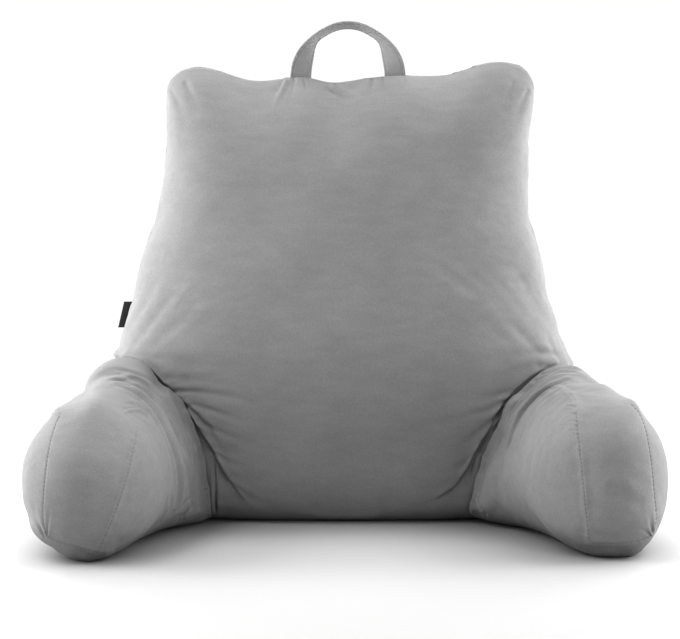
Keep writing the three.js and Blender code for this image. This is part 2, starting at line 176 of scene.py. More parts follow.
BACKREST_PULLS = [
    # from the left arm's seam
    dict(deep=2.6, wide=2.0, lip=0.7,
         at=[(181, 401), (192, 411), (205, 424), (215, 440), (223, 453), (231, 464)]),
    dict(deep=1.7, wide=2.4, lip=0.7, at=[(170, 391), (200, 392), (230, 397), (264, 405)]),
    dict(deep=1.0, wide=3.0, lip=0.6, at=[(160, 378), (190, 379), (226, 382)]),
    dict(deep=1.6, wide=2.2, lip=0.7, at=[(186, 404), (205, 408), (228, 416), (252, 424)]),
    dict(deep=1.5, wide=2.2, lip=0.7, at=[(195, 418), (212, 428), (232, 437), (256, 444)]),
    dict(deep=1.2, wide=2.2, lip=0.7, at=[(211, 452), (228, 462), (248, 470)]),
    dict(deep=1.5, wide=2.2, lip=0.6, at=[(227, 480), (240, 491), (256, 501), (272, 508)]),
    dict(deep=0.8, wide=3.6, lip=0.5, at=[(124, 355), (158, 358), (195, 364), (228, 368)]),
    # from the right arm's seam
    dict(deep=2.4, wide=2.2, lip=0.7, at=[(506, 405), (494, 419), (480, 431), (460, 448), (444, 457)]),
    dict(deep=1.5, wide=2.6, lip=0.7, at=[(512, 399), (486, 410), (460, 418), (430, 424)]),
    dict(deep=1.0, wide=2.8, lip=0.6, at=[(517, 390), (492, 396), (460, 401)]),
    dict(deep=1.2, wide=2.2, lip=0.7, at=[(483, 448), (466, 462), (446, 472)]),
    dict(deep=1.2, wide=3.4, lip=0.5, at=[(560, 355), (540, 353), (515, 355), (482, 363)]),
    dict(deep=0.9, wide=3.2, lip=0.5, at=[(552, 366), (532, 367), (510, 373), (482, 379)]),
    dict(deep=1.3, wide=2.2, lip=0.6, at=[(452, 491), (440, 499), (424, 506)]),
    dict(deep=0.35, wide=4.6, lip=0.5, at=[(537, 260), (515, 268), (498, 266), (474, 257)]),
    dict(deep=0.4, wide=4.6, lip=0.5, at=[(540, 274), (518, 284), (500, 293), (466, 301)]),
    # from the strap's feet and the top corners
    dict(deep=-3.0, wide=2.0, lip=0.5, at=[(287, 79), (283, 88), (277, 100), (272, 112)]),
    dict(deep=1.6, wide=1.8, lip=0.5, at=[(294, 77), (292, 90), (288, 106)]),
    dict(deep=0.9, wide=1.8, lip=0.5, at=[(303, 78), (306, 90), (312, 104)]),
    dict(deep=-2.6, wide=2.2, lip=0.4, at=[(331, 86), (340, 90), (350, 94), (360, 99), (370, 103)]),
    dict(deep=2.0, wide=2.0, lip=0.3, at=[(325, 86), (335, 92), (346, 97), (358, 102)]),
    dict(deep=1.0, wide=2.0, lip=0.6, at=[(373, 77), (371, 88), (368, 101)]),
    dict(deep=0.9, wide=1.8, lip=0.6, at=[(383, 76), (385, 87), (389, 98)]),
    dict(deep=0.9, wide=2.0, lip=0.6, at=[(403, 74), (407, 86), (415, 98)]),
    dict(deep=1.2, wide=2.8, lip=0.5, at=[(170, 88), (179, 106), (186, 128)]),
    dict(deep=1.0, wide=3.0, lip=0.5, at=[(184, 80), (193, 97), (201, 114)]),
    dict(deep=1.1, wide=2.8, lip=0.5, at=[(529, 88), (520, 107), (513, 128)]),
    dict(deep=0.9, wide=3.0, lip=0.5, at=[(514, 80), (505, 97), (498, 114)]),
]
BACKREST_CREASES = [
    dict(deep=1.6, wide=1.4, lip=0.5, at=[(213, 462), (215, 485), (215, 503), (216, 516)]),
    dict(deep=-1.6, wide=1.6, lip=0.6, at=[(140, 362), (150, 368), (158, 376), (167, 386)]),
    dict(deep=1.6, wide=1.3, lip=0.5, at=[(492, 430), (485, 445), (476, 462), (472, 478)]),
    dict(deep=0.4, wide=4.0, lip=0.4, at=[(526, 266), (518, 276), (511, 286)]),
]

ARM_LEFT_TUCKS = [
    dict(deep=1.3, wide=1.3, far=5.0, lip=0.5,
         at=[(190, 512), (195, 490), (197, 468), (194, 450), (187, 434), (177, 416), (164, 400), (147, 387),
             (127, 379), (112, 376)]),
]
ARM_LEFT_CREASES = [
    dict(deep=4.0, wide=11.0, lip=0.0,
         at=[(170, 385), (188, 414), (199, 440), (207, 466), (211, 495), (213, 522), (214, 540)]),
    dict(deep=1.0, wide=1.4, lip=0.5,
         at=[(112, 369), (126, 371), (142, 376), (158, 386), (172, 400), (184, 417)]),
    dict(deep=1.7, wide=1.4, lip=0.6,
         at=[(102, 383), (112, 380), (123, 381), (135, 386), (146, 393), (156, 402), (167, 417), (178, 440),
             (185, 464), (187, 486)]),
    dict(deep=1.9, wide=1.4, lip=0.6,
         at=[(108, 387), (118, 386), (130, 390), (142, 398), (153, 409), (163, 425), (172, 446), (178, 468),
             (179, 490), (175, 510)]),
    dict(deep=-1.4, wide=2.2, lip=0.4,
         at=[(150, 396), (161, 411), (171, 432), (178, 455), (182, 478), (180, 500), (172, 518)]),
    dict(deep=0.8, wide=1.4, lip=0.6, at=[(166, 440), (172, 462), (173, 484), (169, 506)]),
    dict(deep=0.7, wide=1.4, lip=0.7, at=[(122, 404), (132, 404), (142, 408), (152, 417), (159, 431)]),
    dict(deep=-0.7, wide=1.2, lip=0.7, at=[(122, 413), (132, 410), (142, 411), (150, 417)]),
    dict(deep=0.8, wide=1.3, lip=0.6, at=[(175, 513), (184, 504), (191, 496)]),
    dict(deep=0.8, wide=1.3, lip=0.6, at=[(181, 518), (190, 509), (198, 501)]),
]
ARM_LEFT_PULLS = [
    dict(deep=0.8, wide=1.3, lip=0.8, at=[(46, 538), (40, 527), (35, 512), (34, 498)]),
    dict(deep=0.7, wide=1.2, lip=0.8, at=[(47, 537), (48, 524), (50, 508)]),
    dict(deep=0.6, wide=1.2, lip=0.8, at=[(45, 539), (37, 532), (32, 522)]),
    dict(deep=0.7, wide=1.3, lip=0.8, at=[(60, 416), (55, 414), (48, 416)]),
]
ARM_LEFT_SEAMS = [
    [(62, 412), (56, 424), (51, 440), (47, 462), (44, 490), (43, 515), (46, 536)],
    [(138, 426), (133, 450), (128, 472), (121, 494), (111, 522), (98, 551)],
    [(44, 535), (62, 543), (80, 548), (97, 553), (112, 553)],
]

ARM_RIGHT_TUCKS = [
    dict(deep=1.1, wide=1.3, far=4.0, lip=0.5,
         at=[(590, 376), (578, 372), (560, 372), (551, 375), (543, 380), (529, 393), (514, 410), (503, 428),
             (491, 449), (481, 474), (475, 500)]),
]
ARM_RIGHT_CREASES = [
    dict(deep=4.0, wide=13.0, lip=0.0,
         at=[(503, 422), (491, 446), (480, 470), (472, 494), (467, 518), (465, 540)]),
    dict(deep=1.9, wide=1.3, lip=0.6,
         at=[(588, 373), (576, 368), (564, 367), (551, 371), (539, 379), (527, 390), (514, 404),
             (500, 424)]),
    dict(deep=-1.0, wide=1.4, lip=0.5,
         at=[(575, 377), (565, 378), (550, 385), (536, 394), (525, 404), (513, 421)]),
    dict(deep=1.7, wide=1.3, lip=0.6,
         at=[(566, 383), (556, 384), (546, 390), (534, 400), (522, 414), (512, 434), (504, 456)]),
    dict(deep=1.4, wide=1.5, lip=0.6,
         at=[(562, 388), (551, 394), (541, 402), (530, 416), (521, 436), (513, 460)]),
    dict(deep=0.3, wide=2.0, lip=0.6, at=[(553, 402), (543, 420), (535, 445), (529, 472), (526, 505)]),
    dict(deep=0.25, wide=2.0, lip=0.6, at=[(562, 410), (555, 430), (549, 455), (545, 485)]),
    dict(deep=1.3, wide=1.4, lip=0.5, at=[(473, 494), (478, 507), (488, 517)]),
    dict(deep=1.4, wide=5.0, lip=0.4, at=[(606, 482), (626, 497), (646, 507)]),
    dict(deep=0.35, wide=1.0, lip=0.7, at=[(565, 407), (569, 406), (576, 407)]),
    dict(deep=0.35, wide=1.0, lip=0.7, at=[(566, 414), (570, 413), (577, 415)]),
    dict(deep=0.3, wide=1.0, lip=0.7, at=[(567, 422), (571, 421), (577, 422)]),
    dict(deep=0.3, wide=1.0, lip=0.7, at=[(568, 431), (572, 430), (578, 431)]),
]
ARM_RIGHT_PULLS = [
    dict(deep=1.3, wide=1.3, lip=0.8, at=[(655, 535), (657, 522), (657, 506)]),
    dict(deep=1.0, wide=1.3, lip=0.8, at=[(654, 536), (651, 526), (650, 512)]),
    dict(deep=0.8, wide=1.2, lip=0.8, at=[(652, 537), (645, 531), (637, 528)]),
]
ARM_RIGHT_SEAMS = [
    [(562, 387), (574, 400), (577, 425), (580, 450), (583, 480), (586, 510), (590, 543)],
    [(628, 402), (638, 412), (645, 428), (649, 448), (652, 470), (654, 492), (656, 515), (654, 533)],
    [(588, 543), (615, 544), (640, 541), (654, 533)],
]
# Stitched seams. The puckers drift along a seam and swing in height: how far, over what length in
# pixels and, for the swing, how much it differs from seam to seam.
SEAM = {"wide": 1.0, "deep": 0.4, "end": 8, "pucker": 0.08, "pucker_wide": 3.0, "pucker_step": 7.0,
        "drift": (1.5, 17), "swing": (0.7, 23, 2.1)}
# How folds run: the share of its length over which a crease fades and a pull starts, how a pull dies
# away and widens, and where the rise beside a trough lies, in widths
CREASE_END = 0.14
PULL_START = 0.06
PULL_FALL = 1.1
PULL_WIDTHS = (0.75, 0.9)
LIP_PLACE = 2.1
# Slow changes in depth along a fold: share of the depth, length in pixels and step from fold to fold
DEPTH_WAVES = [(0.22, 13, 1.7), (0.14, 5.3, 2.9)]
FOLD_REACH = 32
# Two rounds of finer cloth: how near a fold, in pixels, and the widest fold that needs it
FINE_ROUNDS = [(5, 9), (3, 1.7)]
FINE_SMOOTH = 3

# Small corrections of the outline: a place in the frame, the way to move it and how far round it, pixels
JUNCTION_NUDGES = [
    dict(at=(164, 379), move=(-5, 6), wide=14),
    dict(at=(511, 404), move=(-3, -4), wide=14),
]
BACKREST_NUDGES = JUNCTION_NUDGES + [
    dict(at=(571, 363), move=(10, 2), wide=10),
    dict(at=(562, 334), move=(-3, 0), wide=10),
    dict(at=(118, 354), move=(-7, 0), wide=4.5),
    dict(at=(498, 66), move=(0, -3), wide=22),
]
ARM_LEFT_NUDGES = JUNCTION_NUDGES + [
    dict(at=(79, 389), move=(5, 4), wide=12),
    dict(at=(92, 410), move=(1, -8), wide=18),
    dict(at=(58, 408), move=(-4.5, -3), wide=13),
    dict(at=(50, 560), move=(9, -4), wide=22),
    dict(at=(22, 462), move=(-2, 0), wide=20),
    dict(at=(28, 515), move=(2.5, 0), wide=10),
]
ARM_RIGHT_NUDGES = JUNCTION_NUDGES + [
    dict(at=(604, 388), move=(2, -4), wide=15),
    dict(at=(632, 402), move=(3, -3), wide=15),
    dict(at=(645, 558), move=(-2, 1), wide=8),
]
BACKREST_CLOTH = dict(tucks=BACKREST_TUCKS, pulls=BACKREST_PULLS, creases=BACKREST_CREASES, seams=[],
                      nudges=BACKREST_NUDGES)
ARM_LEFT_CLOTH = dict(tucks=ARM_LEFT_TUCKS, pulls=ARM_LEFT_PULLS, creases=ARM_LEFT_CREASES,
                      seams=ARM_LEFT_SEAMS, nudges=ARM_LEFT_NUDGES, rounded=ARM_LEFT_SEAMS[0])
ARM_RIGHT_CLOTH = dict(tucks=ARM_RIGHT_TUCKS, pulls=ARM_RIGHT_PULLS, creases=ARM_RIGHT_CREASES,
                       seams=ARM_RIGHT_SEAMS, nudges=ARM_RIGHT_NUDGES, rounded=ARM_RIGHT_SEAMS[1])
# The filling rounds the outer seam of an arm's end: how far to each side, in pixels, and how much
ROUNDED = {"wide": 18, "rounds": 16, "share": 0.5}

# Stitches along the arm seams: step and long in pixels, thick and longest in millimetres, and where a
# stitch is thickest, as shares of its length
STITCH = {"step": 4.2, "long": 2.6, "thick": 0.36, "longest": 6, "shoulders": (0.25, 0.75)}
STITCH_SIDES = 4


def photo_pixels(points):
    """Where points of the part's frame fall in the photograph."""
    offset = points - np.array(CAMERA_PLACE)
    forward = offset[:, 1] * math.cos(CAMERA_DIP) - offset[:, 2] * math.sin(CAMERA_DIP)
    up = offset[:, 1] * math.sin(CAMERA_DIP) + offset[:, 2] * math.cos(CAMERA_DIP)
    across = PHOTO_SIZE[0] / 2 + FOCAL_PIXELS * offset[:, 0] / forward
    down = PHOTO_SIZE[1] / 2 - FOCAL_PIXELS * up / forward
    return np.stack([across, down], axis=1)


def sight_line(pixel):
    """Direction from the camera through a pixel of the photograph."""
    across = (pixel[0] - PHOTO_SIZE[0] / 2) / FOCAL_PIXELS
    up = (PHOTO_SIZE[1] / 2 - pixel[1]) / FOCAL_PIXELS
    sin, cos = math.sin(CAMERA_DIP), math.cos(CAMERA_DIP)
    return Vector((across, cos + up * sin, up * cos - sin)).normalized()


def facing_camera(points, normals):
    """1 where the surface faces the camera, 0 where it turns away."""
    sight = points - np.array(CAMERA_PLACE)
    sight /= np.linalg.norm(sight, axis=1, keepdims=True)
    return np.clip((-(normals * sight).sum(1) - FACING_EDGE) / FACING_FADE, 0, 1)


def smooth_line(points, steps=5):
    """A smooth line through a few points, as a finer list of points."""
    points = np.array(points, float)
    padded = np.vstack([2 * points[0] - points[1], points, 2 * points[-1] - points[-2]])
    line = []
    for i in range(len(points) - 1):
        a, b, c, d = padded[i:i + 4]
        for t in np.linspace(0, 1, steps, endpoint=False):
            line.append(0.5 * (2 * b + (c - a) * t + (2 * a - 5 * b + 4 * c - d) * t ** 2
                               + (3 * b - a - 3 * c + d) * t ** 3))
    line.append(points[-1])
    return np.array(line)


def near_line(pixels, line, reach):
    """Which pixels lie within reach of the box round a line."""
    inside = (pixels > line.min(axis=0) - reach) & (pixels < line.max(axis=0) + reach)
    return np.flatnonzero(inside.all(axis=1))


def line_distance(pixels, line):
    """Distance of pixels from a line, below zero on its left, share of the way along, and its length."""
    nearest = np.full(len(pixels), np.inf)
    along = np.zeros(len(pixels))
    side = np.ones(len(pixels))
    travelled = 0.0
    for a, b in zip(line[:-1], line[1:]):
        step = b - a
        length = max(float(np.hypot(*step)), TINY)
        offset = pixels - a
        t = np.clip((offset @ step) / length ** 2, 0, 1)
        distance = np.hypot(*(offset - t[:, None] * step).T)
        closer = distance < nearest
        nearest[closer] = distance[closer]
        along[closer] = travelled + t[closer] * length
        side[closer] = np.sign(step[0] * offset[closer, 1] - step[1] * offset[closer, 0])
        travelled += length
    return nearest * np.where(side < 0, -1, 1), along / travelled, travelled


def read_points(mesh):
    points = np.empty(len(mesh.vertices) * 3)
    mesh.vertices.foreach_get("co", points)
    return points.reshape(-1, 3)


def read_normals(mesh):
    normals = np.empty(len(mesh.vertices) * 3)
    mesh.vertex_normals.foreach_get("vector", normals)
    return normals.reshape(-1, 3)


def write_points(mesh, points):
    mesh.vertices.foreach_set("co", points.ravel())
    mesh.update()


def read_edges(mesh):
    edges = np.empty(len(mesh.edges) * 2, np.int32)
    mesh.edges.foreach_get("vertices", edges)
    return edges.reshape(-1, 2)


def new_piece(name, data):
    piece = bpy.data.objects.new(name, data)
    bpy.context.scene.collection.objects.link(piece)
    return piece


def piece_from_faces(name, points, faces):
    """A new piece from points and faces, its faces turned outwards."""
    mesh = bpy.data.meshes.new(name)
    mesh.from_pydata(points, [], faces)
    turned = bmesh.new()
    turned.from_mesh(mesh)
    bmesh.ops.recalc_face_normals(turned, faces=turned.faces)
    turned.to_mesh(mesh)
    turned.free()
    return new_piece(name, mesh)


def dress(piece, material, slot, *nodes):
    """Gives a piece its cloth and its place in the frame."""
    for polygon in piece.data.polygons:
        polygon.use_smooth = True
    piece.data.materials.clear()
    piece.data.materials.append(material)
    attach(piece, "root")
    if nodes:
        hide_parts(*nodes)


def apply_modifiers(piece):
    graph = bpy.context.evaluated_depsgraph_get()
    mesh = bpy.data.meshes.new_from_object(piece.evaluated_get(graph))
    piece.modifiers.clear()
    old = piece.data
    piece.data = mesh
    bpy.data.meshes.remove(old)
    mesh.name = piece.name


def copy_of_nodes(name, nodes):
    """One new piece from the solids of some CAD nodes."""
    joined = bmesh.new()
    for node in nodes:
        joined.from_mesh(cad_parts[node].data)
    mesh = bpy.data.meshes.new(name)
    joined.to_mesh(mesh)
    joined.free()
    return new_piece(name, mesh)


def keep_largest_shell(mesh):
    """Deletes the small shells that a remesh leaves inside a joined solid."""
    shells = bmesh.new()
    shells.from_mesh(mesh)
    unseen = set(shells.verts)
    groups = []
    while unseen:
        start = unseen.pop()
        group, queue = [start], [start]
        while queue:
            for edge in queue.pop().link_edges:
                for vert in edge.verts:
                    if vert in unseen:
                        unseen.discard(vert)
                        group.append(vert)
                        queue.append(vert)
        groups.append(group)
    groups.sort(key=len)
    for group in groups[:-1]:
        bmesh.ops.delete(shells, geom=group, context="VERTS")
    shells.to_mesh(mesh)
    shells.free()


def neighbour_means(points, edges):
    """The mean of each point's neighbours."""
    count = np.bincount(edges.ravel(), minlength=len(points))[:, None]
    total = np.stack([
        np.bincount(edges[:, 0], points[edges[:, 1], axis], len(points))
        + np.bincount(edges[:, 1], points[edges[:, 0], axis], len(points))
        for axis in range(3)], axis=1)
    return total / count


def smooth_shape(mesh, rounds, ease=0.5, restore=-0.53):
    """Evens out facets without shrinking: each round eases the points, then gives back the loss."""
    points = read_points(mesh)
    edges = read_edges(mesh)
    for _ in range(rounds):
        for share in (ease, restore):
            points = points + share * (neighbour_means(points, edges) - points)
    write_points(mesh, points)


def round_seam(mesh, seam):
    """Rounds the cloth off to both sides of a seam."""
    points = read_points(mesh)
    edges = read_edges(mesh)
    distance = line_distance(photo_pixels(points), smooth_line(seam))[0]
    share = ROUNDED["share"] * np.exp(-(distance / ROUNDED["wide"]) ** 2)
    share *= facing_camera(points, read_normals(mesh))
    for _ in range(ROUNDED["rounds"]):
        points = points + share[:, None] * (neighbour_means(points, edges) - points)
    write_points(mesh, points)


def remesh(piece, voxel):
    modifier = piece.modifiers.new("remesh", "REMESH")
    modifier.mode = "VOXEL"
    modifier.voxel_size = voxel
    apply_modifiers(piece)
    keep_largest_shell(piece.data)


def subdivide(piece, levels):
    modifier = piece.modifiers.new("subdivide", "SUBSURF")
    modifier.levels = levels
    modifier.render_levels = levels
    apply_modifiers(piece)


def refine(piece, wanted):
    """Halves the faces all of whose points are wanted."""
    finer = bmesh.new()
    finer.from_mesh(piece.data)
    faces = [face for face in finer.faces if all(wanted[vert.index] for vert in face.verts)]
    edges = {edge for face in faces for edge in face.edges}
    bmesh.ops.subdivide_edges(finer, edges=list(edges), cuts=1, use_grid_fill=True)
    finer.to_mesh(piece.data)
    finer.free()


def held_points(piece, neighbours, seams=()):
    """Points that the stitching, the neighbouring pieces or the floor hold in place."""
    points = read_points(piece.data)
    held = points[:, 2] < HELD_BASE
    for node in neighbours:
        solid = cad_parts[node].data
        tree = BVHTree.FromPolygons([v.co for v in solid.vertices], [p.vertices for p in solid.polygons])
        near = [tree.find_nearest(Vector(point), HELD_NEAR)[0] is not None for point in points]
        held |= np.array(near)
    pixels = photo_pixels(points)
    facing = facing_camera(points, read_normals(piece.data)) > 0
    for seam in seams:
        held |= facing & (np.abs(line_distance(pixels, smooth_line(seam))[0]) < HELD_SEAM_PIXELS)
    return held


def swell(piece, held, ease):
    """Fills a cushion: a slightly smaller shape, blown up as cloth under pressure and held where sewn."""
    mesh = piece.data
    loose = (~held).astype(float)[:, None]
    start = read_points(mesh) - read_normals(mesh) * SHRINK * loose
    write_points(mesh, start)
    group = piece.vertex_groups.new(name="held")
    group.add(np.flatnonzero(held).tolist(), 1.0, "REPLACE")
    modifier = piece.modifiers.new("swell", "CLOTH")
    cloth = modifier.settings
    for setting, value in CLOTH.items():
        setattr(cloth, setting, value)
    cloth.shrink_min = -ease
    cloth.use_pressure = True
    cloth.uniform_pressure_force = CLOTH_PRESSURE
    cloth.vertex_group_mass = group.name
    cloth.effector_weights.gravity = 0
    modifier.point_cache.frame_start = 1
    modifier.point_cache.frame_end = CLOTH_FRAMES
    for number in range(1, CLOTH_FRAMES + 1):
        bpy.context.scene.frame_set(number)
    apply_modifiers(piece)
    bpy.context.scene.frame_set(1)
    moved = read_points(piece.data) - start
    length = np.linalg.norm(moved, axis=1, keepdims=True)
    moved *= np.minimum(1, SWELL_CAP / np.maximum(length, TINY))
    write_points(piece.data, start + moved)
    piece.vertex_groups.clear()


def uneven_filling(points, seed):
    """A slow unevenness of the filling, in metres, as a few seeded waves."""
    random = np.random.default_rng(seed)
    total = np.zeros(len(points))
    for _ in range(UNEVEN["waves"]):
        direction = random.normal(size=3)
        direction /= np.linalg.norm(direction)
        length = UNEVEN["length"] * random.uniform(*UNEVEN["spread"])
        total += np.sin(points @ direction * 2 * math.pi / length + random.uniform(0, 2 * math.pi))
    return UNEVEN["height"] * total / math.sqrt(UNEVEN["waves"])


def soft_step(t):
    t = np.clip(t, 0, 1)
    return t * t * (3 - 2 * t)


def uneven_depth(along, seed):
    """A slow change in depth along a fold, different for each."""
    return 1 + sum(share * np.sin(along / length + step * seed) for share, length, step in DEPTH_WAVES)


def crease_fade(share):
    return soft_step(np.minimum(share, 1 - share) / CREASE_END)


def pull_fade(share):
    return soft_step(share / PULL_START) * (1 - share) ** PULL_FALL


def trough(distance, wide, lip):
    """A symmetrical trough with a low rise on both sides."""
    size = np.abs(distance)
    return np.exp(-(size / wide) ** 2) - lip * np.exp(-((size - LIP_PLACE * wide) / wide) ** 2)


def fold_shift(pixels, fold, kind, seed):
    """Outward shift in millimetres that a fold gives to points near it."""
    distance, share, total = line_distance(pixels, smooth_line(fold["at"]))
    wide = fold["wide"]
    if kind == "tucks":
        slope = np.exp(-(distance / fold["far"]) ** 2)
        shape = np.where(distance > 0, slope, trough(distance, wide, fold["lip"])) * crease_fade(share)
    elif kind == "pulls":
        spread = PULL_WIDTHS[0] + PULL_WIDTHS[1] * share
        shape = trough(distance, wide * spread, fold["lip"]) * pull_fade(share)
    else:
        shape = trough(distance, wide, fold["lip"]) * crease_fade(share)
    return -fold["deep"] * shape * uneven_depth(share * total, seed)


def seam_shift(pixels, line, seed):
    """Outward shift in millimetres along a stitched seam, with its small puckers."""
    distance, share, total = line_distance(pixels, line)
    along = share * total
    fade = soft_step(np.minimum(along, total - along) / SEAM["end"])
    groove = -SEAM["deep"] * np.exp(-(distance / SEAM["wide"]) ** 2)
    drift, drift_length = SEAM["drift"]
    ripple = np.sin(along * 2 * math.pi / SEAM["pucker_step"] + drift * np.sin(along / drift_length + seed))
    swing, swing_length, swing_step = SEAM["swing"]
    strength = SEAM["pucker"] * (1 + swing * np.sin(along / swing_length + swing_step * seed))
    return (groove + strength * ripple * np.exp(-(distance / SEAM["pucker_wide"]) ** 2)) * fade


def fold_lines(cloth, widest):
    """Lines of the seams and of all folds up to a width."""
    folds = cloth["tucks"] + cloth["pulls"] + cloth["creases"]
    lines = [fold["at"] for fold in folds if fold["wide"] <= widest]
    return [smooth_line(line) for line in lines + cloth["seams"]]


def near_folds(piece, lines, reach):
    """Points that face the camera and lie within reach of a line, in pixels."""
    points = read_points(piece.data)
    pixels = photo_pixels(points)
    wanted = np.zeros(len(points), bool)
    for line in lines:
        near = near_line(pixels, line, reach)
        wanted[near] |= np.abs(line_distance(pixels[near], line)[0]) < reach
    return wanted & (facing_camera(points, read_normals(piece.data)) > 0)


def refine_folds(piece, cloth):
    """Finer faces where the cloth is folded, evened out after each halving."""
    for reach, widest in FINE_ROUNDS:
        refine(piece, near_folds(piece, fold_lines(cloth, widest), reach))
        smooth_shape(piece.data, FINE_SMOOTH)


def nudge(piece, nudges):
    """Moves parts of a piece across the picture, to bring its outline to the photograph's."""
    points = read_points(piece.data)
    pixels = photo_pixels(points)
    offset = points - np.array(CAMERA_PLACE)
    per_pixel = (offset[:, 1] * math.cos(CAMERA_DIP) - offset[:, 2] * math.sin(CAMERA_DIP)) / FOCAL_PIXELS
    for row in nudges:
        distance = np.hypot(*(pixels - np.array(row["at"])).T)
        weight = per_pixel * np.exp(-(distance / row["wide"]) ** 2)
        points[:, 0] += weight * row["move"][0]
        points[:, 2] -= weight * row["move"][1]
    write_points(piece.data, points)


def carve(piece, cloth):
    """Moves the points that face the camera in and out along the folds and seams."""
    points = read_points(piece.data)
    normals = read_normals(piece.data)
    pixels = photo_pixels(points)
    shift = np.zeros(len(points))
    for kind in ("tucks", "pulls", "creases"):
        for seed, fold in enumerate(cloth[kind]):
            near = near_line(pixels, np.array(fold["at"]), FOLD_REACH)
            shift[near] += fold_shift(pixels[near], fold, kind, seed)
    for seed, seam in enumerate(cloth["seams"]):
        near = near_line(pixels, np.array(seam), FOLD_REACH)
        shift[near] += seam_shift(pixels[near], smooth_line(seam), seed)
    shift *= facing_camera(points, normals)
    write_points(piece.data, points + normals * (shift / 1000)[:, None])


def add_unevenness(piece, seed):
    points = read_points(piece.data)
    shift = uneven_filling(points, seed) * soft_step(points[:, 2] / UNEVEN["above"])
    write_points(piece.data, points + read_normals(piece.data) * shift[:, None])


def settle(piece):
    """Keeps a piece on the floor, flat where it rests."""
    points = read_points(piece.data)
    points[:, 2] = np.maximum(points[:, 2], 0)
    write_points(piece.data, points)


def noise_node(tree, scale, detail, stretch=(1, 1, 1)):
    """A noise pattern over the object's own coordinates."""
    nodes, links = tree.nodes, tree.links
    mapping = nodes.new("ShaderNodeMapping")
    mapping.inputs["Scale"].default_value = stretch
    links.new(nodes.new("ShaderNodeTexCoord").outputs["Object"], mapping.inputs["Vector"])
    texture = nodes.new("ShaderNodeTexNoise")
    texture.inputs["Scale"].default_value = scale
    texture.inputs["Detail"].default_value = detail
    links.new(mapping.outputs["Vector"], texture.inputs["Vector"])
    return texture.outputs["Fac"]


def multiplied(tree, first, second):
    mix = tree.nodes.new("ShaderNodeMix")
    mix.data_type = "RGBA"
    mix.blend_type = "MULTIPLY"
    mix.inputs[MIX_FACTOR].default_value = 1.0
    tree.links.new(first, mix.inputs[MIX_FIRST])
    tree.links.new(second, mix.inputs[MIX_SECOND])
    return mix.outputs[MIX_RESULT]


def level_ramp(tree, value, stops):
    """Grey levels along a value from 0 to 1."""
    ramp = tree.nodes.new("ShaderNodeValToRGB")
    elements = ramp.color_ramp.elements
    for position, _ in stops[1:-1]:
        elements.new(position)
    for element, (position, level) in zip(elements, stops):
        element.position = position
        element.color = (level, level, level, 1)
    tree.links.new(value, ramp.inputs["Fac"])
    return ramp.outputs["Color"]


def mottle(tree, pattern, level=1.0):
    """Grey levels that a noise pattern lightens and darkens."""
    noise = noise_node(tree, pattern["scale"], pattern["detail"], pattern["stretch"])
    low, high = pattern["ends"]
    spread = pattern["spread"]
    return level_ramp(tree, noise, [(low, level * (1 - spread)), (high, level * (1 + spread))])


def open_shade(tree, shade):
    """Painted shade: the colour darkened down in folds and corners, where a surface shades itself."""
    opening = tree.nodes.new("ShaderNodeAmbientOcclusion")
    opening.samples = SHADE_SAMPLES
    opening.inputs["Distance"].default_value = shade["reach"]
    return level_ramp(tree, opening.outputs["AO"], shade["stops"])


def velour_material(name, grey):
    """Short-pile velour: a mottled nap, faint brush marks, a fine pile and painted shade in folds."""
    material = bpy.data.materials.new(name)
    material.use_nodes = True
    tree = material.node_tree
    shader = tree.nodes["Principled BSDF"]
    for socket, value in VELOUR_SHADER.items():
        shader.inputs[socket].default_value = value
    colour = mottle(tree, NAP, grey)
    # The last layer is painted shade, darkening the colour in folds and corners
    for layer in (mottle(tree, BRUSH), mottle(tree, PILE), open_shade(tree, FOLD_SHADE)):
        colour = multiplied(tree, colour, layer)
    tree.links.new(colour, shader.inputs["Base Color"])
    bump = tree.nodes.new("ShaderNodeBump")
    bump.inputs["Strength"].default_value = PILE_BUMP["strength"]
    bump.inputs["Distance"].default_value = PILE_BUMP["distance"]
    tree.links.new(noise_node(tree, PILE_BUMP["scale"], PILE_BUMP["detail"]), bump.inputs["Height"])
    tree.links.new(bump.outputs["Normal"], shader.inputs["Normal"])
    return material


def plain_material(name, grey, roughness):
    material = bpy.data.materials.new(name)
    material.use_nodes = True
    shader = material.node_tree.nodes["Principled BSDF"]
    shader.inputs["Base Color"].default_value = (grey, grey, grey, 1)
    shader.inputs["Roughness"].default_value = roughness
    return material


def middle_depth(heights):
    """Depth of the backrest's side seam at some heights: halfway between its front and its back."""
    solid = read_points(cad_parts["backrest"].data)
    margin = SEAM_LEVELS["margin"]
    levels = np.linspace(margin, solid[:, 2].max() - margin, SEAM_LEVELS["count"])
    middles = []
    for level in levels:
        near = solid[np.abs(solid[:, 2] - level) < SEAM_LEVELS["reach"]]
        middles.append((near[:, 1].min() + near[:, 1].max()) / 2)
    return np.interp(heights, levels, middles)


def side_seam_distance(points):
    """Millimetres from the seam that runs up the backrest's sides and along its top."""
    return np.abs(points[:, 1] - middle_depth(points[:, 2])) * 1000


def sew_side_seam(piece):
    points = read_points(piece.data)
    groove = SIDE_SEAM["deep"] * np.exp(-(side_seam_distance(points) / SIDE_SEAM["wide"]) ** 2)
    groove *= soft_step((points[:, 2] * 1000 - SIDE_SEAM["above"]) / SIDE_SEAM["fade"])
    write_points(piece.data, points - read_normals(piece.data) * (groove / 1000)[:, None])


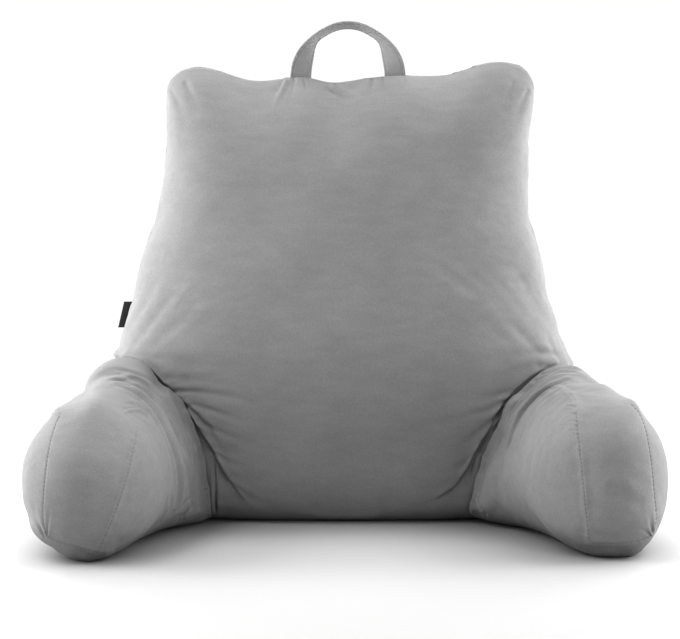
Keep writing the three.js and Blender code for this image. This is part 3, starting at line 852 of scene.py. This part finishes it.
def make_backrest(velour):
    cloth = BACKREST_CLOTH
    piece = copy_of_nodes("backrest_cushion", ["backrest"])
    remesh(piece, BACK_VOXEL)
    smooth_shape(piece.data, SMOOTH_ROUNDS)
    held = held_points(piece, ["arm_left", "arm_right", "carry_strap"])
    held |= side_seam_distance(read_points(piece.data)) < SIDE_SEAM["held"]
    swell(piece, held, BACK_EASE)
    subdivide(piece, 1)
    nudge(piece, cloth["nudges"])
    refine(piece, side_seam_distance(read_points(piece.data)) < SIDE_SEAM["finer"])
    refine_folds(piece, cloth)
    add_unevenness(piece, BACK_SEED)
    sew_side_seam(piece)
    carve(piece, cloth)
    settle(piece)
    dress(piece, velour, "velour", "backrest")


def make_arm(side, velour, cloth):
    nodes = [f"arm_{side}", f"arm_end_{side}"]
    piece = copy_of_nodes(f"arm_cushion_{side}", nodes)
    remesh(piece, ARM_VOXEL)
    smooth_shape(piece.data, SMOOTH_ROUNDS)
    swell(piece, held_points(piece, ["backrest"], cloth["seams"]), ARM_EASE)
    round_seam(piece.data, cloth["rounded"])
    subdivide(piece, 1)
    nudge(piece, cloth["nudges"])
    refine_folds(piece, cloth)
    add_unevenness(piece, ARM_SEED)
    carve(piece, cloth)
    settle(piece)
    dress(piece, velour, "velour", *nodes)
    return piece


def surface_point(tree, pixel):
    """Where the line of sight through a pixel meets a surface, with the normal there."""
    place, normal, _, _ = tree.ray_cast(Vector(CAMERA_PLACE), sight_line(pixel))
    return place, normal


def stitch(points, faces, start, end, normal):
    """Adds one stitch: a short thread, pointed at both ends, lying on the cloth."""
    along = (end - start).normalized()
    across = along.cross(normal).normalized()
    half = STITCH["thick"] / 2000
    tail = len(points)
    points.append(start)
    for share in STITCH["shoulders"]:
        centre = start.lerp(end, share) + normal * half
        for i in range(STITCH_SIDES):
            turn = 2 * math.pi * i / STITCH_SIDES
            points.append(centre + across * half * math.cos(turn) + normal * half * math.sin(turn))
    points.append(end)
    first = tail + 1
    second = first + STITCH_SIDES
    tip = second + STITCH_SIDES
    for i in range(STITCH_SIDES):
        j = (i + 1) % STITCH_SIDES
        faces.append((tail, first + j, first + i))
        faces.append((first + i, first + j, second + j, second + i))
        faces.append((second + i, second + j, tip))


def make_stitches(side, cushion, thread, seams):
    """A row of stitches along each seam of an arm."""
    mesh = cushion.data
    tree = BVHTree.FromPolygons([v.co for v in mesh.vertices], [p.vertices for p in mesh.polygons])
    points, faces = [], []
    for seam in seams:
        line = smooth_line(seam)
        steps = np.diff(line, axis=0)
        travelled = np.concatenate([[0], np.cumsum(np.hypot(*steps.T))])
        for start in np.arange(STITCH["step"], travelled[-1] - STITCH["step"], STITCH["step"]):
            ends = []
            for at in (start, start + STITCH["long"]):
                pixel = [np.interp(at, travelled, line[:, axis]) for axis in (0, 1)]
                ends.append(surface_point(tree, pixel))
            (first, normal), (last, _) = ends
            if first is not None and last is not None and (last - first).length < STITCH["longest"] / 1000:
                stitch(points, faces, first, last, normal)
    piece = piece_from_faces(f"arm_stitches_{side}", points, faces)
    dress(piece, thread, "velour")


def strap_section():
    """Outline of the strap across its width: rolled edges with a stitched line inside each."""
    half_width, half_thick = STRAP_WIDTH / 2, STRAP_THICK / 2
    across = np.sin(np.linspace(-math.pi / 2, math.pi / 2, STRAP_HEM["points"])) * half_width
    edge = np.clip((half_width - np.abs(across)) / half_thick, 0, 1)
    thick = half_thick * np.sqrt(1 - (1 - edge) ** 2)
    thick -= STRAP_HEM["deep"] * np.exp(-((np.abs(across) - STRAP_HEM["place"]) / STRAP_HEM["wide"]) ** 2)
    upper = list(zip(across, thick))
    lower = list(zip(across[::-1][1:-1], -thick[::-1][1:-1]))
    return np.array(upper + lower)


def strap_ring(section, bend):
    """The strap's outline where it bends: its inner edge draws in and a fold crosses its inner face."""
    fold = STRAP_FOLD
    ring = section.copy()
    drawn = fold["drawn"] * math.exp(-((bend - fold["drawn_at"]) / fold["drawn_over"]) ** 2)
    inner = ring[:, 0] < 0
    ring[inner, 0] *= 1 - drawn / (STRAP_WIDTH / 2)
    crossing = fold["cross"] * ((bend - fold["cross_from"]) / fold["cross_over"] - 1)
    ridge = fold["high"] * math.exp(-((bend - fold["high_at"]) / fold["high_over"]) ** 4)
    face = ring[:, 1] < 0
    across = ring[face, 0]
    inside = 1 - (2 * across / STRAP_WIDTH) ** 4
    ring[face, 1] -= ridge * inside * np.exp(-((across - crossing) / fold["wide"]) ** 2)
    return ring


def make_strap(velour):
    """The carrying strap: flat to the front at its feet, turning until it arches flat over the hand."""
    low, high = (np.array(corner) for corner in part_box("carry_strap"))
    centre = (low + high) / 2
    feet_turn = math.radians(STRAP_TURN["feet"])
    half_span = (high[0] - low[0]) / 2 - STRAP_WIDTH / 2 * math.sin(feet_turn)
    arch_turn = math.radians(STRAP_TURN["arch"])
    over = STRAP_WIDTH / 2 * math.sin(arch_turn) + STRAP_THICK / 2 * math.cos(arch_turn)
    rise = high[2] - over - STRAP_FOOT_HEIGHT
    front = Vector((0, -1, 0))
    section = strap_section()
    points, faces = [], []
    for step in range(STRAP_STEPS + 1):
        sweep = math.pi * (1 - step / STRAP_STEPS)
        cos, sin = math.cos(sweep), math.sin(sweep)
        sunk = STRAP_SUNK if step in (0, STRAP_STEPS) else 0
        middle = Vector((centre[0] + half_span * cos, centre[1], STRAP_FOOT_HEIGHT + rise * sin - sunk))
        outward = Vector((cos / half_span, 0, sin / rise)).normalized()
        along = front.cross(outward)
        turn = arch_turn + (feet_turn - arch_turn) * abs(cos) ** STRAP_TURN["sharpness"]
        width = front * math.cos(turn) + outward * math.sin(turn)
        thick = along.cross(width)
        points += [middle + width * w + thick * t for w, t in strap_ring(section, abs(cos))]
    size = len(section)
    for step in range(STRAP_STEPS):
        for i in range(size):
            j = (i + 1) % size
            faces.append((step * size + i, step * size + j, (step + 1) * size + j, (step + 1) * size + i))
    faces.append(tuple(range(size)))
    faces.append(tuple(STRAP_STEPS * size + i for i in reversed(range(size))))
    piece = piece_from_faces("strap_cloth", points, faces)
    dress(piece, velour, "strap", "carry_strap")


def folded_profile(inner, outer, middle, reach, thin):
    """Outline of a ribbon folded in two, as two paths of equal length around its fold."""
    paths = []
    for half in (reach, reach - thin):
        turn = outer + reach
        path = [(inner, middle - half), ((inner + turn) / 2, middle - half)]
        for angle in np.linspace(-90, -270, TAG_TURN_STEPS):
            angle = math.radians(angle)
            path.append((turn + half * math.cos(angle), middle + half * math.sin(angle)))
        path += [((inner + turn) / 2, middle + half), (inner, middle + half)]
        paths.append(path)
    return paths[0] + paths[1][::-1]


def make_tag(ribbon):
    """A blank ribbon folded in two, its ends held in the side seam."""
    solid = read_points(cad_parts["side_tag"].data)
    low, high = solid[:, 2].min(), solid[:, 2].max()
    near_low = solid[solid[:, 2] < low + TAG_END_SHARE * (high - low)]
    near_high = solid[solid[:, 2] > high - TAG_END_SHARE * (high - low)]
    middle = (solid[:, 1].min() + solid[:, 1].max()) / 2
    points, faces = [], []
    for t in np.linspace(0, 1, TAG_ROWS):
        inner = (1 - t) * near_low[:, 0].max() + t * near_high[:, 0].max() + TAG_SUNK
        outer = (1 - t) * (near_low[:, 0].min() + TAG_TRIM[0]) + t * (near_high[:, 0].min() + TAG_TRIM[1])
        ring = folded_profile(inner, outer, middle, TAG_THICK / 2, TAG_LAYER)
        points += [(x, y, low + t * (high - low)) for x, y in ring]
    size = len(points) // TAG_ROWS
    for row in range(TAG_ROWS - 1):
        for i in range(size):
            j = (i + 1) % size
            faces.append((row * size + i, row * size + j, (row + 1) * size + j, (row + 1) * size + i))
    last = (TAG_ROWS - 1) * size
    for i in range(size // 2 - 1):
        strip = (i, size - 1 - i, size - 2 - i, i + 1)
        faces.append(strip)
        faces.append(tuple(last + k for k in reversed(strip)))
    piece = piece_from_faces("tag_ribbon", points, faces)
    dress(piece, ribbon, "tag", "side_tag")


def floor_material():
    """Plain pale floor, with a painted shadow close under the pillow and a painted glow away from it."""
    material = plain_material("floor_paint", FLOOR_GREY, FLOOR_ROUGH)
    tree = material.node_tree
    shader = tree.nodes["Principled BSDF"]
    # Painted shadow: the floor's colour darkens where it lies closed in, close under the pillow
    colour = multiplied(tree, mottle(tree, FLOOR_MOTTLE, FLOOR_GREY), open_shade(tree, FLOOR_SHADE))
    tree.links.new(colour, shader.inputs["Base Color"])
    # Painted light: the floor glows through emission, more strongly away from the pillow
    mapping = tree.nodes.new("ShaderNodeMapping")
    mapping.inputs["Scale"].default_value = FLOOR_GLOW["scale"]
    tree.links.new(tree.nodes.new("ShaderNodeTexCoord").outputs["Object"], mapping.inputs["Vector"])
    gradient = tree.nodes.new("ShaderNodeTexGradient")
    gradient.gradient_type = "SPHERICAL"
    tree.links.new(mapping.outputs["Vector"], gradient.inputs["Vector"])
    glow = level_ramp(tree, gradient.outputs["Fac"], FLOOR_GLOW["stops"])
    tree.links.new(glow, shader.inputs["Emission Color"])
    shader.inputs["Emission Strength"].default_value = 1.0
    return material


def make_stage():
    """A floor that ends a little way behind the pillow."""
    corners = [(-FLOOR_SPAN, -FLOOR_SPAN, 0), (FLOOR_SPAN, -FLOOR_SPAN, 0),
               (FLOOR_SPAN, FLOOR_BEHIND, 0), (-FLOOR_SPAN, FLOOR_BEHIND, 0)]
    mesh = bpy.data.meshes.new("floor")
    mesh.from_pydata(corners, [], [(0, 1, 2, 3)])
    mesh.materials.append(floor_material())
    new_piece("floor", mesh)


def area_light(name, place, aim, size, power):
    light = bpy.data.lights.new(name, "AREA")
    light.shape = "RECTANGLE"
    light.size, light.size_y = size
    light.energy = power
    lamp = new_piece(name, light)
    lamp.location = place
    lamp.rotation_euler = (Vector(aim) - Vector(place)).to_track_quat("-Z", "Y").to_euler()


def make_lights():
    """An even room, a white backdrop behind the pillow and soft lights round and above it."""
    world = bpy.data.worlds.new("studio")
    bpy.context.scene.world = world
    world.use_nodes = True
    nodes, links = world.node_tree.nodes, world.node_tree.links
    direction = nodes.new("ShaderNodeSeparateXYZ")
    links.new(nodes.new("ShaderNodeTexCoord").outputs["Generated"], direction.inputs["Vector"])
    ramp = nodes.new("ShaderNodeValToRGB")
    levels = zip(ramp.color_ramp.elements, BACKDROP_FADE, (ROOM_LIGHT, BACKDROP_LIGHT))
    for element, position, level in levels:
        element.position = position
        element.color = (level, level, level, 1)
    links.new(direction.outputs["Y"], ramp.inputs["Fac"])
    links.new(ramp.outputs["Color"], nodes["Background"].inputs["Color"])
    for name, place, aim, size, power in LIGHTS:
        area_light(name, place, aim, size, power)


def make_camera():
    data = bpy.data.cameras.new("photo_camera")
    data.sensor_width = SENSOR_MM
    data.lens = SENSOR_MM * FOCAL_PIXELS / PHOTO_SIZE[0]
    camera = new_piece("photo_camera", data)
    camera.location = CAMERA_PLACE
    camera.rotation_euler = (math.pi / 2 - CAMERA_DIP, 0, 0)
    bpy.context.scene.camera = camera
    bpy.context.scene.view_settings.view_transform = "Standard"


make_camera()
make_lights()
make_stage()
velour = velour_material("velour_pile", VELOUR_GREY)
thread = plain_material("seam_thread", THREAD_GREY, THREAD_ROUGH)
make_backrest(velour)
arm_left = make_arm("left", velour, ARM_LEFT_CLOTH)
make_stitches("left", arm_left, thread, ARM_LEFT_SEAMS)
arm_right = make_arm("right", velour, ARM_RIGHT_CLOTH)
make_stitches("right", arm_right, thread, ARM_RIGHT_SEAMS)
make_strap(velour_material("strap_pile", STRAP_GREY))
make_tag(plain_material("ribbon", TAG_BLACK, TAG_ROUGH))
